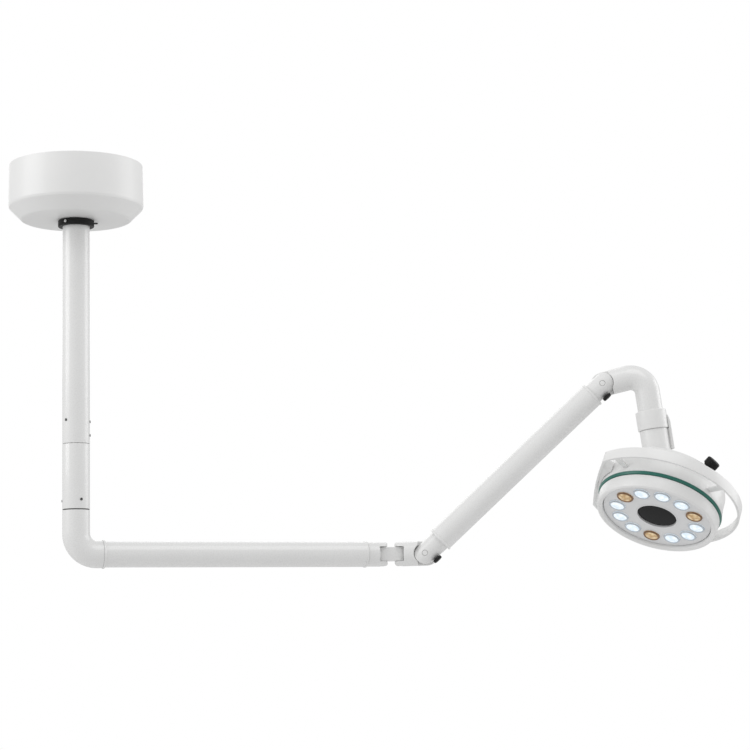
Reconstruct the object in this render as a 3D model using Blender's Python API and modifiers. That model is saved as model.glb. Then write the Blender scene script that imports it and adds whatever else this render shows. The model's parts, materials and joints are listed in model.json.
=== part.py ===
"""Ceiling-mounted dental operating light: column, folding balance arm and LED head.

Metres, +Z up. The origin is the centre of the ceiling plate's top face and +X runs along
the horizontal arm. Dimensions below are in millimetres and degrees.
"""
import math

import bmesh
import bpy
from mathutils import Matrix, Vector

MM = 0.001
GAP = 0.3

# Ceiling mounting
PLATE_R = 85.0
PLATE_T = 3.0
CANOPY_R = 99.0
CANOPY_BOTTOM = 82.7
CLAMP_R = 26.5
CLAMP_H = 9.5

# Column and horizontal arm
COLUMN_R = 20.0
SEAM_1 = 414.4
SEAM_2 = 510.0
ARM_Z = -574.5
ARM_R = 19.0
ARM_BEND = 30.0
ARM_TUBE_START = 38.0
ARM_TUBE_END = 439.0
FORK_R = 18.5
FORK_PIN_X = 466.0
SLOT_H = 22.0
PIN_R = 4.0

# Link, knuckle and balance arm
LINK_YAW = -13.0
LINK_SPAN = 25.0
LINK_R = 8.5
LINK_H = 20.6
KNUCKLE_YAW = -12.5
KNUCKLE_LENGTH = 41.0
TONGUE_R = 16.2
LUG_R = 18.4
SCOOP_R = TONGUE_R + 0.6
LIFT = 42.1
BALANCE_LENGTH = 368.6
BALANCE_R = 19.0
KNOB_R = 7.0

# Head elbow, neck and swivel
LEG_RISE = 12.5
LEG_LENGTH = 64.5
ELBOW_R = 18.7
ELBOW_BEND = 25.0
NECK_LEAN = 7.0
COLLAR_R = 23.0
COLLAR_TOP = 57.5
COLLAR_BOTTOM = 86.0
SWIVEL_R = 21.0
NECK_LENGTH = 156.3
SWIVEL_YAW = 49.4
HEAD_TILT = 34.2
HEAD_YAW = -42.3
COVER_YAW = 42.0

# Lamp head, heights measured back from the plane of the lenses
JOINT_X = -10.1
JOINT_H = 69.0
LED_CIRCLE_R = 60.0
LED_COUNT = 12
AMBER_LENSES = (3, 7, 11)
LENS_R = 12.3
BAND_LOW = 13.9
BAND_HIGH = 19.5
BACK_H = 72.0
PLUG_R = 34.0
SLOT_ANGLES = (-50.5, 26.5)
HANDLE_R = 118.0
HANDLE_T = 3.5
HANDLE_LOW = 27.0
HANDLE_H = 16.6
CORNER_AZ = 55.5
TAB_AZ = (42.5, -42.5, 137.5, -137.5)
DIMMER_AZ = 39.5

FINISHES = {
    "white_paint": ((0.86, 0.86, 0.85), 0.22, 0.0),
    "white_plastic": ((0.85, 0.85, 0.84), 0.28, 0.0),
    "pearl_plate": ((0.62, 0.63, 0.64), 0.35, 0.0),
    "black_plastic": ((0.03, 0.03, 0.03), 0.35, 0.0),
    "black_gloss": ((0.02, 0.02, 0.02), 0.08, 0.0),
    "teal": ((0.025, 0.145, 0.108), 0.4, 0.0),
    "steel": ((0.6, 0.6, 0.6), 0.3, 1.0),
    "dark_steel": ((0.12, 0.12, 0.12), 0.35, 1.0),
    "aluminium": ((0.75, 0.76, 0.77), 0.35, 1.0),
    "brass": ((0.6, 0.42, 0.16), 0.35, 1.0),
    "board": ((0.8, 0.8, 0.78), 0.5, 0.0),
    "clear_lens": ((0.86, 0.91, 0.98), 0.1, 0.0),
    "amber_lens": ((0.62, 0.4, 0.17), 0.15, 0.0),
}


def clear_scene():
    for obj in list(bpy.data.objects):
        bpy.data.objects.remove(obj, do_unlink=True)


def new_collection(name):
    group = bpy.data.collections.new(name)
    bpy.context.scene.collection.children.link(group)
    return group


clear_scene()
PARTS = new_collection("dental_operating_light")
CUTTERS = new_collection("cutters")


def material(name, finish):
    colour, roughness, metallic = FINISHES[finish]
    mat = bpy.data.materials.new(name)
    mat.use_nodes = True
    shader = mat.node_tree.nodes["Principled BSDF"]
    shader.inputs["Base Color"].default_value = (*colour, 1.0)
    shader.inputs["Roughness"].default_value = roughness
    shader.inputs["Metallic"].default_value = metallic
    return mat


def pivot(name, parent, loc, rot=(0.0, 0.0, 0.0)):
    """An empty on a joint's axis; rot is in degrees about x, y, z."""
    empty = bpy.data.objects.new(name, None)
    PARTS.objects.link(empty)
    empty.parent = parent
    empty.location = Vector(loc) * MM
    empty.rotation_euler = [math.radians(a) for a in rot]
    return empty


def put(name, mesh, parent, group, loc, rot):
    obj = bpy.data.objects.new(name, mesh)
    group.objects.link(obj)
    obj.parent = parent
    obj.location = Vector(loc) * MM
    obj.rotation_euler = [math.radians(a) for a in rot]
    return obj


def piece(name, mesh, parent, finish, loc=(0.0, 0.0, 0.0), rot=(0.0, 0.0, 0.0)):
    mesh.name = name
    mesh.materials.clear()
    mesh.materials.append(material(name, finish))
    mesh.shade_smooth()
    mesh.set_sharp_from_angle(angle=math.radians(32))
    return put(name, mesh, parent, PARTS, loc, rot)


def tool(name, mesh, parent, loc=(0.0, 0.0, 0.0), rot=(0.0, 0.0, 0.0)):
    """A shape used to cut or extend a piece."""
    obj = put(name, mesh, parent, CUTTERS, loc, rot)
    obj.hide_render = True
    obj.display_type = "WIRE"
    return obj


def combine(obj, other, operation):
    mod = obj.modifiers.new(operation.title(), "BOOLEAN")
    mod.operation = operation
    mod.solver = "EXACT"
    mod.object = other


def taken(source):
    """The evaluated mesh of a working object, welded, with the object removed."""
    bpy.context.view_layer.update()
    graph = bpy.context.evaluated_depsgraph_get()
    mesh = bpy.data.meshes.new_from_object(source.evaluated_get(graph))
    bpy.data.objects.remove(source, do_unlink=True)
    bm = bmesh.new()
    bm.from_mesh(mesh)
    bmesh.ops.remove_doubles(bm, verts=bm.verts, dist=0.00001)
    bmesh.ops.recalc_face_normals(bm, faces=bm.faces)
    bm.to_mesh(mesh)
    bm.free()
    return mesh


def turned(profile, steps=20):
    """A profile of (radius, height) turned about z; it closes on itself or on the axis."""
    area = 0.0
    for (r0, z0), (r1, z1) in zip(profile, profile[1:] + profile[:1]):
        area += r0 * z1 - r1 * z0
    points = list(profile) if area < 0 else list(reversed(profile))
    on_axis = [p for p in points if p[0] == 0.0]
    if on_axis:
        while not (points[0][0] == 0.0 and points[-1][0] == 0.0):
            points = points[1:] + points[:1]
    edges = [(i, i + 1) for i in range(len(points) - 1)]
    if not on_axis:
        edges.append((len(points) - 1, 0))
    mesh = bpy.data.meshes.new("profile")
    mesh.from_pydata([(r * MM, 0.0, z * MM) for r, z in points], edges, [])
    obj = bpy.data.objects.new("profile", mesh)
    PARTS.objects.link(obj)
    mod = obj.modifiers.new("Turn", "SCREW")
    mod.steps = steps
    mod.render_steps = steps
    mod.use_merge_vertices = True
    mod.merge_threshold = 0.00001
    return taken(obj)


def rod(radius, low, high, steps=12):
    return turned([(0.0, high), (radius, high), (radius, low), (0.0, low)], steps)


def outline(loops, thickness):
    """Flat loops in xy, the first one the outside, extruded evenly about z = 0."""
    curve = bpy.data.curves.new("outline", "CURVE")
    curve.dimensions = "2D"
    curve.fill_mode = "BOTH"
    curve.extrude = thickness * MM / 2
    for loop in loops:
        spline = curve.splines.new("POLY")
        spline.points.add(len(loop) - 1)
        for point, (x, y) in zip(spline.points, loop):
            point.co = (x * MM, y * MM, 0.0, 1.0)
        spline.use_cyclic_u = True
    obj = bpy.data.objects.new("outline", curve)
    PARTS.objects.link(obj)
    return taken(obj)


def swept(path, radius, resolution=10, cyclic=False):
    """A round bar along a path of points."""
    curve = bpy.data.curves.new("path", "CURVE")
    curve.dimensions = "3D"
    curve.bevel_depth = radius * MM
    curve.bevel_resolution = resolution
    curve.use_fill_caps = not cyclic
    spline = curve.splines.new("POLY")
    spline.points.add(len(path) - 1)
    for point, place in zip(spline.points, path):
        point.co = (*(Vector(place) * MM), 1.0)
    spline.use_cyclic_u = cyclic
    obj = bpy.data.objects.new("path", curve)
    PARTS.objects.link(obj)
    return taken(obj)


def box(size, centre=(0.0, 0.0, 0.0)):
    mesh = bpy.data.meshes.new("box")
    bm = bmesh.new()
    bmesh.ops.create_cube(bm, size=1.0)
    bmesh.ops.scale(bm, vec=Vector(size) * MM, verts=bm.verts)
    bmesh.ops.translate(bm, vec=Vector(centre) * MM, verts=bm.verts)
    bm.to_mesh(mesh)
    bm.free()
    return mesh


def arc(cx, cy, radius, start, end, count):
    points = []
    for i in range(count + 1):
        a = math.radians(start + (end - start) * i / count)
        points.append((cx + radius * math.cos(a), cy + radius * math.sin(a)))
    return points


def circle(cx, cy, radius, count=12):
    return arc(cx, cy, radius, 0.0, 360.0, count)[:-1]


def bent_path(start, corner, end, radius, count=7):
    """Two straight legs in the xz plane joined by a bend of the given radius."""
    a = (Vector(start) - Vector(corner)).normalized()
    b = (Vector(end) - Vector(corner)).normalized()
    half = a.angle(b) / 2
    reach = radius / math.tan(half)
    centre = Vector(corner) + (a + b).normalized() * radius / math.sin(half)
    first = Vector(corner) + a * reach - centre
    last = Vector(corner) + b * reach - centre
    turn = first.angle(last)
    points = [Vector(start)]
    for i in range(count + 1):
        f = i / count
        step = (first * math.sin((1 - f) * turn) + last * math.sin(f * turn)) / math.sin(turn)
        points.append(centre + step)
    points.append(Vector(end))
    return [tuple(p) for p in points]


def polar(azimuth, radius):
    """Lamp-frame x and y of a point; azimuth 0 is the near side, positive to the right."""
    a = math.radians(azimuth)
    return radius * math.sin(a), -radius * math.cos(a)


# Ceiling mounting ---------------------------------------------------------------------------


def ceiling_mounting(root):
    loops = [circle(0.0, 0.0, PLATE_R, 36), circle(-48.0, -30.0, 9.0)]
    loops += [circle(*polar(a, 72.0), 3.2, 10) for a in (0.0, 90.0, 180.0, 270.0)]
    piece("ceiling_plate", outline(loops, PLATE_T), root, "steel", (0.0, 0.0, -PLATE_T / 2))

    top = -PLATE_T - GAP
    socket = piece("ceiling_socket", turned([(8.0, top), (45.0, top), (45.0, -8.0), (25.0, -8.0),
                   (25.0, -60.0), (COLUMN_R + GAP, -60.0), (COLUMN_R + GAP, -11.0),
                   (8.0, -11.0)]), root, "steel")
    window = tool("socket_window", box((20.0, 10.0, 12.0), (-23.0, 0.0, -22.0)), root)
    combine(socket, window, "DIFFERENCE")

    driver = piece("driver_box", box((70.0, 36.0, 24.0), (0.0, 66.0, top - 12.0)), root,
                   "aluminium")
    rounding = driver.modifiers.new("Rounding", "BEVEL")
    rounding.width = 1.5 * MM
    rounding.segments = 2

    low = -CANOPY_BOTTOM
    piece("canopy_cover", turned([
        (98.0, -0.5), (99.0, -61.0), (98.0, -64.4), (81.0, -81.6), (78.5, low),
        (COLUMN_R + 0.6, low), (COLUMN_R + 0.6, low + 3.0), (77.5, low + 3.0), (95.6, -62.0),
        (95.2, -0.5)], 32), root, "white_paint")

    top = low - GAP
    piece("canopy_clamp_ring", turned([
        (CLAMP_R - 0.8, top), (CLAMP_R, top - 0.8), (CLAMP_R, top - CLAMP_H + 0.8),
        (CLAMP_R - 0.8, top - CLAMP_H), (COLUMN_R + GAP, top - CLAMP_H), (COLUMN_R + GAP, top)],
        24), root, "black_plastic")
    radial_screw("clamp_ring_screw", root, CLAMP_R, -27.0, top - CLAMP_H / 2, 2.2, 1.6, "steel")
    radial_screw("clamp_ring_set_screw", root, CLAMP_R, 88.0, top - CLAMP_H / 2, 1.3, 5.5,
                 "dark_steel")


def radial_screw(name, parent, radius, azimuth, height, head_r, head_h, finish):
    """A screw whose axis is radial; azimuth 0 faces the viewing side of the column."""
    turn = azimuth - 108.0
    a = math.radians(turn)
    loc = ((radius + GAP) * math.cos(a), (radius + GAP) * math.sin(a), height)
    mesh = turned([(0.0, 0.0), (head_r, 0.0), (head_r, head_h * 0.7), (head_r * 0.7, head_h),
                   (0.0, head_h)], 8)
    piece(name, mesh, parent, finish, loc, (0.0, 90.0, turn))


# Column and horizontal arm ------------------------------------------------------------------


def column(root):
    r = COLUMN_R
    piece("column_tube", turned([(r, -12.0), (r, -SEAM_1 + 0.5), (r - 2.0, -SEAM_1 + 0.5),
          (r - 2.0, -12.0)]), root, "white_paint")
    piece("column_joint_sleeve", turned([
        (17.7, -370.0), (17.7, -SEAM_1 - 0.4), (r, -SEAM_1 - 0.4), (r, -SEAM_2 + 0.7),
        (12.3, -SEAM_2 + 0.7), (12.3, -440.0), (15.0, -440.0), (15.0, -370.0)]), root,
        "white_paint")
    screws = ((-38.0, -380.0), (90.0, -382.0), (90.0, -402.0), (30.0, -496.0), (-90.0, -497.0))
    for i, (azimuth, height) in enumerate(screws):
        radial_screw(f"column_screw_{i + 1}", root, r, azimuth, height, 2.0, 0.7, "dark_steel")


def horizontal_arm(arm):
    top = -SEAM_2 - 0.9
    piece("swivel_washer", turned([(19.5, -SEAM_2 + 0.4), (19.5, -SEAM_2 - 0.6),
          (12.3, -SEAM_2 - 0.6), (12.3, -SEAM_2 + 0.4)], 28), arm, "dark_steel")
    path = bent_path((0.0, 0.0, top), (0.0, 0.0, ARM_Z), (ARM_TUBE_START - GAP, 0.0, ARM_Z),
                     ARM_BEND)
    elbow = piece("arm_elbow", swept(path, COLUMN_R, 8), arm, "white_paint")
    path = bent_path((0.0, 0.0, top + 10.0), (0.0, 0.0, ARM_Z), (60.0, 0.0, ARM_Z), ARM_BEND)
    combine(elbow, tool("elbow_bore", swept(path, 17.2, 5), arm), "DIFFERENCE")
    piece("swivel_shaft", turned([
        (14.5, -433.8), (14.5, -439.6), (12.0, -439.6), (12.0, -512.0), (16.2, -512.0),
        (16.2, -530.0), (8.0, -530.0), (8.0, -433.8)], 24), arm, "steel")

    start, end = ARM_TUBE_START, ARM_TUBE_END
    piece("horizontal_tube", turned([
        (16.2, start - 6.0), (16.2, start), (20.4, start), (21.0, start + 0.6),
        (21.0, start + 2.6), (20.4, start + 3.2), (ARM_R, start + 3.2), (ARM_R, end - 3.0),
        (19.9, end - 2.8), (19.9, end - 0.4), (19.5, end), (15.5, end), (15.5, start - 6.0)]),
        arm, "white_paint", (0.0, 0.0, ARM_Z), (0.0, 90.0, 0.0))

    fork = piece("arm_fork", turned([
        (0.0, 425.0), (15.2, 425.0), (15.2, end + GAP), (FORK_R - 0.8, end + GAP),
        (FORK_R, end + GAP + 0.8), (FORK_R, 476.0), (0.0, 476.0)]), arm, "white_paint",
        (0.0, 0.0, ARM_Z), (0.0, 90.0, 0.0))
    end_x = FORK_PIN_X - 12.0
    plan = [(400.0, 18.7), (400.0, -18.7)] + arc(end_x, 0.0, 18.7, -90.0, 90.0, 12)
    combine(fork, tool("fork_plan", outline([plan], 60.0), arm, (0.0, 0.0, ARM_Z)), "INTERSECT")
    side = [(400.0, 18.7), (400.0, -18.7)] + arc(end_x + 11.8, -11.7, 7.0, -90.0, 0.0, 4)
    side += arc(end_x + 11.8, 11.7, 7.0, 0.0, 90.0, 4)
    combine(fork, tool("fork_side", outline([side], 60.0), arm, (0.0, 0.0, ARM_Z),
            (90.0, 0.0, 0.0)), "INTERSECT")
    slot = box((40.0, 60.0, SLOT_H), (FORK_PIN_X + 11.0, 0.0, ARM_Z))
    combine(fork, tool("fork_slot", slot, arm), "DIFFERENCE")
    hole = tool("fork_hole", rod(PIN_R + GAP, -40.0, 40.0), arm, (FORK_PIN_X, 0.0, ARM_Z))
    combine(fork, hole, "DIFFERENCE")


def link(frame):
    loop = arc(0.0, 0.0, LINK_R, 90.0, 270.0, 8) + arc(LINK_SPAN, 0.0, LINK_R, -90.0, 90.0, 8)
    bore = PIN_R + GAP
    loops = [loop, circle(0.0, 0.0, bore), circle(LINK_SPAN, 0.0, bore)]
    piece("link_block", outline(loops, LINK_H), frame, "white_paint")
    piece("fork_pin", pin(16.8), frame, "steel")


def pin(half):
    return turned([(0.0, half), (PIN_R - 0.6, half), (PIN_R, half - 0.6), (PIN_R, 0.6 - half),
                   (PIN_R - 0.6, -half), (0.0, -half)], 10)


# Knuckle, balance arm and head elbow --------------------------------------------------------


def knuckle(frame):
    pin_x = KNUCKLE_LENGTH
    body = piece("knuckle_body", turned([
        (0.0, -10.0), (FORK_R, -10.0), (FORK_R, pin_x + 20.0), (0.0, pin_x + 20.0)]), frame,
        "white_paint", (0.0, 0.0, 0.0), (0.0, 90.0, 0.0))
    plan = arc(12.0, 0.0, 18.7, 90.0, 270.0, 12) + [(80.0, -18.7), (80.0, 18.7)]
    combine(body, tool("knuckle_plan", outline([plan], 60.0), frame), "INTERSECT")
    side = arc(0.2, 11.9, 7.0, 90.0, 180.0, 4) + arc(0.2, -11.9, 7.0, 180.0, 270.0, 4)
    side.append((pin_x, -18.9))
    side += arc(pin_x, 0.0, LUG_R, -90.0, 90.0, 12) + [(pin_x, 18.9)]
    profile = tool("knuckle_side", outline([side], 60.0), frame, rot=(90.0, 0.0, 0.0))
    combine(body, profile, "INTERSECT")
    slot = box((40.0, 60.0, SLOT_H), (9.0 - 20.0, 0.0, 0.0))
    combine(body, tool("knuckle_slot", slot, frame), "DIFFERENCE")
    lap = box((60.0, 40.0, 60.0), (29.5 + 30.0, -20.0 + 0.4, 0.0))
    combine(body, tool("knuckle_lap", lap, frame), "DIFFERENCE")
    combine(body, tool("knuckle_scoop", rod(SCOOP_R, -0.4, 30.0, 24), frame,
            (pin_x, 0.0, 0.0), (90.0, 0.0, 0.0)), "DIFFERENCE")
    combine(body, tool("knuckle_hole", rod(PIN_R + GAP, -40.0, 40.0), frame), "DIFFERENCE")
    bore = tool("knuckle_bore", rod(PIN_R + GAP, -40.0, 40.0), frame, (pin_x, 0.0, 0.0),
                (90.0, 0.0, 0.0))
    combine(body, bore, "DIFFERENCE")
    piece("knuckle_pin", pin(16.8), frame, "steel")
    piece("lower_pivot_pin", pin(15.8), frame, "steel", (pin_x, 0.0, 0.0), (90.0, 0.0, 0.0))


def tongue(obj, frame, x, flip):
    """Round the end about the hinge pin, leave the near half of the lap and bore it."""
    name = obj.name
    loop = arc(0.0, 0.0, TONGUE_R + 0.1, 90.0, 270.0, 12)
    loop += [(120.0, -TONGUE_R - 3.0), (120.0, TONGUE_R + 3.0)]
    spin = 180.0 if flip else 0.0
    end = tool(name + "_end", outline([loop], 60.0), frame, (x, 0.0, 0.0),
               (90.0, spin, 0.0))
    combine(obj, end, "INTERSECT")
    sign = -1.0 if flip else 1.0
    lap = box((60.0, 40.0, 60.0), (x + sign * (LUG_R + 0.6 - 30.0), 20.0 - 0.4, 0.0))
    combine(obj, tool(name + "_lap", lap, frame), "DIFFERENCE")
    bore = rod(PIN_R + GAP, -40.0, 40.0)
    combine(obj, tool(name + "_bore", bore, frame, (x, 0.0, 0.0), (90.0, 0.0, 0.0)),
            "DIFFERENCE")


def balance_arm(frame):
    length = BALANCE_LENGTH
    r = TONGUE_R
    low, high = 29.0, length - 21.0
    lower = piece("lower_hinge_end", turned([(0.0, -20.0), (r, -20.0), (r, 44.0), (r - 1.0, 45.0),
                  (0.0, 45.0)]), frame, "white_paint", rot=(0.0, 90.0, 0.0))
    tongue(lower, frame, 0.0, False)
    upper = piece("upper_hinge_end", turned([(0.0, length + 20.0), (r, length + 20.0),
                  (r, length - 44.0), (r - 1.0, length - 45.0), (0.0, length - 45.0)]), frame,
                  "white_paint", rot=(0.0, 90.0, 0.0))
    tongue(upper, frame, length, True)
    br = BALANCE_R
    piece("balance_tube", turned([
        (br + 0.5, low), (br + 1.0, low + 0.5), (br + 1.0, low + 3.0), (br, low + 3.4),
        (br, high - 3.4), (br + 1.0, high - 3.0), (br + 1.0, high - 0.5), (br + 0.5, high),
        (r + GAP, high), (r + GAP, low)]), frame, "white_paint", rot=(0.0, 90.0, 0.0))
    turns, per_turn = 9, 8
    coil = []
    for i in range(turns * per_turn + 1):
        a = 2 * math.pi * i / per_turn
        coil.append((52.0 + 248.0 * i / (turns * per_turn), 12.2 * math.cos(a),
                     12.2 * math.sin(a)))
    piece("balance_spring", swept(coil, 1.3, 1), frame, "steel")
    piece("spring_rod", turned([
        (0.0, 46.0), (4.0, 46.0), (4.0, 303.0), (14.0, 303.0), (14.0, 307.0), (4.0, 307.0),
        (4.0, 322.0), (0.0, 322.0)], 14), frame, "dark_steel", rot=(0.0, 90.0, 0.0))


def tension_knob(name, frame):
    piece(name, turned([(0.0, 0.6), (3.0, 0.6), (3.0, 0.0), (KNOB_R - 1.0, 0.0), (KNOB_R, -0.8),
          (KNOB_R, -4.2), (KNOB_R - 1.0, -5.0), (0.0, -5.0)], 14), frame, "black_plastic")


def head_elbow(frame, neck):
    turn = math.radians(LEG_RISE - NECK_LEAN + 90.0)
    down = Vector((math.cos(turn), 0.0, -math.sin(turn)))
    corner = Vector((LEG_LENGTH, 0.0, 0.0))
    end = corner + down * (COLLAR_BOTTOM - GAP)
    body = swept(bent_path((-20.0, 0.0, 0.0), corner, end, ELBOW_BEND), ELBOW_R, 8)
    elbow = piece("head_elbow", body, frame, "white_paint")
    side = arc(0.0, 0.0, LUG_R, 90.0, 270.0, 12) + [(0.0, -24.0), (16.0, -180.0),
                                                    (120.0, -180.0), (120.0, 24.0), (0.0, 24.0)]
    end_cut = tool("elbow_end", outline([side], 60.0), frame, rot=(90.0, 0.0, 0.0))
    combine(elbow, end_cut, "INTERSECT")
    lap = box((60.0, 40.0, 60.0), (13.0 - 30.0, -20.0 + 0.4, 0.0))
    combine(elbow, tool("elbow_lap", lap, frame), "DIFFERENCE")
    combine(elbow, tool("elbow_scoop", rod(SCOOP_R, -0.4, 30.0, 24), frame,
            rot=(90.0, 0.0, 0.0)), "DIFFERENCE")
    pin_bore = tool("elbow_pin_bore", rod(PIN_R + GAP, -40.0, 40.0), frame,
                    rot=(90.0, 0.0, 0.0))
    combine(elbow, pin_bore, "DIFFERENCE")
    bore = bent_path((34.0, 0.0, 0.0), corner, corner + down * 100.0, ELBOW_BEND)
    combine(elbow, tool("head_elbow_bore", swept(bore, 14.0, 4), frame), "DIFFERENCE")
    piece("upper_pivot_pin", pin(15.8), frame, "steel", rot=(90.0, 0.0, 0.0))

    top, low = -COLLAR_TOP, -COLLAR_BOTTOM
    piece("neck_collar", turned([
        (COLLAR_R - 0.7, top), (COLLAR_R, top - 0.7), (COLLAR_R, low + 0.7),
        (COLLAR_R - 0.7, low), (ELBOW_R + GAP, low), (ELBOW_R + GAP, top)]), neck, "white_plastic")
    piece("neck_spindle", turned([
        (0.0, -50.0), (13.2, -50.0), (13.2, -56.0), (10.0, -56.0), (10.0, -98.0),
        (14.5, -98.0), (14.5, -102.0), (0.0, -102.0)], 16), neck, "steel")


# Swivel and lamp head -----------------------------------------------------------------------


def swivel(frame):
    top = NECK_LENGTH - COLLAR_BOTTOM - GAP
    shelf = NECK_LENGTH - 97.6
    r = SWIVEL_R
    ball = [(x, z) for x, z in arc(0.0, 0.0, r, 0.0, -90.0, 5)][:-1] + [(0.0, -r)]
    tube = piece("swivel_tube", turned([
        (0.0, 23.0), (16.5, 23.0), (16.5, shelf), (10.3, shelf), (10.3, top), (r, top)] + ball),
        frame, "white_plastic")
    bore = tool("swivel_bore", rod(5.3, -40.0, 40.0), frame, rot=(90.0, 0.0, 0.0))
    combine(tube, bore, "DIFFERENCE")

    cover_low, cover_high = NECK_LENGTH - 118.0, NECK_LENGTH - 67.0
    loop = arc(0.0, 0.0, 26.8, -55.0, 55.0, 12) + arc(0.0, 0.0, 23.5, 55.0, -55.0, 12)
    turn = COVER_YAW - SWIVEL_YAW
    cover = piece("hinge_cover", outline([loop], cover_high - cover_low), frame, "white_plastic",
                  (0.0, 0.0, (cover_low + cover_high) / 2), (0.0, 0.0, turn))
    foot = arc(0.0, 0.0, 25.0, -50.0, 50.0, 10) + arc(0.0, 0.0, r + GAP, 50.0, -50.0, 10)
    height = top - GAP - cover_low - 1.0
    combine(cover, tool("cover_foot", outline([foot], height), frame,
            (0.0, 0.0, cover_low + 1.0 + height / 2), (0.0, 0.0, turn)), "UNION")
    taper = turned([(0.0, -1.0), (28.0, -1.0), (28.0, 36.0), (24.6, 51.5), (0.0, 51.5)], 24)
    combine(cover, tool("cover_taper", taper, frame, (0.0, 0.0, cover_low)), "INTERSECT")


def tilt_slot(frame):
    """The space the swivel tube sweeps through, from one tilt limit to the other."""
    r = SWIVEL_R + 0.6
    left, right = (math.radians(a) for a in SLOT_ANGLES)
    start = (-r * math.cos(left), r * math.sin(left))
    end = (r * math.cos(right), -r * math.sin(right))
    first = math.degrees(math.atan2(start[1], start[0]))
    last = math.degrees(math.atan2(end[1], end[0]))
    loop = arc(0.0, 0.0, r, first - 360.0 if first > 0 else first, last, 12)
    loop.append((end[0] + 70.0 * math.sin(right), end[1] + 70.0 * math.cos(right)))
    loop.append((start[0] + 70.0 * math.sin(left), start[1] + 70.0 * math.cos(left)))
    return tool("tilt_slot", outline([loop], 2 * r), frame, rot=(90.0, 0.0, 0.0))


def hinge_boss(tilt, slot):
    back = BACK_H - JOINT_H + GAP
    boss = piece("hinge_boss", turned([
        (0.0, -25.0), (PLUG_R, -25.0), (PLUG_R, back), (49.0, back), (48.6, back + 3.0),
        (45.0, back + 7.0), (36.0, back + 10.6), (0.0, back + 12.2)], 24),
        tilt, "white_plastic")
    combine(boss, slot, "DIFFERENCE")
    bore = tool("boss_bore", rod(5.3, -60.0, 60.0), tilt, rot=(90.0, 0.0, 0.0))
    combine(boss, bore, "DIFFERENCE")
    piece("tilt_pin", rod(5.0, -32.5, 32.5), tilt, "steel", rot=(90.0, 0.0, 0.0))


def housing(lamp, slot):
    rear = piece("rear_housing", turned([
        (34.0, BACK_H), (77.5, BACK_H), (88.0, 62.0), (91.0, 53.0), (91.2, 38.0),
        (92.9, BAND_HIGH + GAP), (90.4, BAND_HIGH + GAP), (88.7, 38.0), (88.5, 53.0),
        (85.8, 61.0), (76.5, 69.5), (34.0, 69.5)], 32), lamp, "white_plastic")
    plug = tool("plug_hole", rod(PLUG_R + 0.6, 60.0, 90.0, 24), lamp, (JOINT_X, 0.0, 0.0))
    combine(rear, plug, "DIFFERENCE")
    combine(rear, slot, "DIFFERENCE")

    piece("accent_ring", turned([(93.3, BAND_HIGH), (91.3, BAND_LOW), (86.5, BAND_LOW),
          (86.5, BAND_HIGH)], 32), lamp, "teal")
    top = BAND_LOW - GAP
    piece("front_bezel", turned([
        (91.0, top), (90.6, 4.0), (89.4, -4.0), (86.5, -5.6), (81.8, -2.6), (81.8, 4.2),
        (79.0, 4.2), (79.0, 6.5), (86.0, 6.5), (86.0, top)], 32),
        lamp, "white_plastic")


def optics(lamp):
    face = piece("face_plate", turned([
        (80.8, 1.0), (80.8, 3.9), (29.6, 3.9), (29.6, 0.2), (31.4, 0.0), (32.0, 1.0)], 24),
        lamp, "pearl_plate")
    for i in range(LED_COUNT):
        x, y = polar(i * 360.0 / LED_COUNT, LED_CIRCLE_R)
        hole = tool(f"lens_hole_{i + 1:02d}", rod(LENS_R + GAP, -8.0, 9.0, 10), lamp, (x, y, 0.0))
        combine(face, hole, "DIFFERENCE")
        finish = "amber_lens" if i + 1 in AMBER_LENSES else "clear_lens"
        mesh = turned([(0.0, -1.6), (9.0, -0.8), (LENS_R, 0.8), (LENS_R, 3.0), (5.0, 11.5),
                       (0.0, 11.5)], 10)
        piece(f"lens_{i + 1:02d}", mesh, lamp, finish, (x, y, 0.0))
    piece("centre_window", turned([(0.0, 2.2), (26.0, 2.4), (29.3, 3.0), (29.3, 5.5),
          (0.0, 5.5)], 20), lamp, "black_gloss")
    piece("led_board", turned([(78.0, 13.6), (78.0, 12.0), (20.0, 12.0), (20.0, 13.6)], 28),
          lamp, "board")
    fins = [(20.0, 13.9), (78.0, 13.9), (78.0, 17.0)]
    for radius in (74.0, 50.0):
        fins += [(radius, 17.0), (radius, 40.0), (radius - 3.0, 40.0), (radius - 3.0, 17.0)]
    fins.append((20.0, 17.0))
    piece("heat_sink", turned(fins, 20), lamp, "aluminium")


def handle(lamp):
    def ring(radius, chord):
        corner = math.degrees(math.acos(-chord / radius))
        loop = arc(0.0, 0.0, radius, -corner, corner, 34)
        return loop + [(-chord - 2.4, 28.0), (-chord - 3.0, 0.0), (-chord - 2.4, -28.0)]

    chord = HANDLE_R * math.sin(math.radians(CORNER_AZ))
    loops = [ring(HANDLE_R, chord), ring(HANDLE_R - HANDLE_T, chord - HANDLE_T)]
    middle = HANDLE_LOW + HANDLE_H / 2
    band = piece("handle_ring", outline(loops, HANDLE_H), lamp, "white_plastic",
                 (0.0, 0.0, middle))
    inner = 93.0
    for i, azimuth in enumerate(TAB_AZ):
        reach = HANDLE_R - 1.5 - inner
        bar = box((reach, 9.0, 3.0), (inner + reach / 2, 0.0, HANDLE_LOW + 1.8))
        combine(band, tool(f"handle_tab_{i}", bar, lamp, rot=(0.0, 0.0, azimuth - 90.0)), "UNION")
    web = arc(0.0, 0.0, inner, 209.0, 151.0, 12) + [(-chord + 1.0, 52.0), (-chord + 1.0, -52.0)]
    combine(band, tool("handle_web", outline([web], HANDLE_H - 1.0), lamp, (0.0, 0.0, middle)),
            "UNION")


def dimmer(frame):
    piece("dimmer_knob", turned([
        (0.0, 0.0), (8.4, 0.0), (9.0, 1.6), (10.75, 2.4), (10.75, 11.6), (10.0, 12.8),
        (8.6, 13.4), (0.0, 13.4)], 16), frame, "black_plastic")


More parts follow.
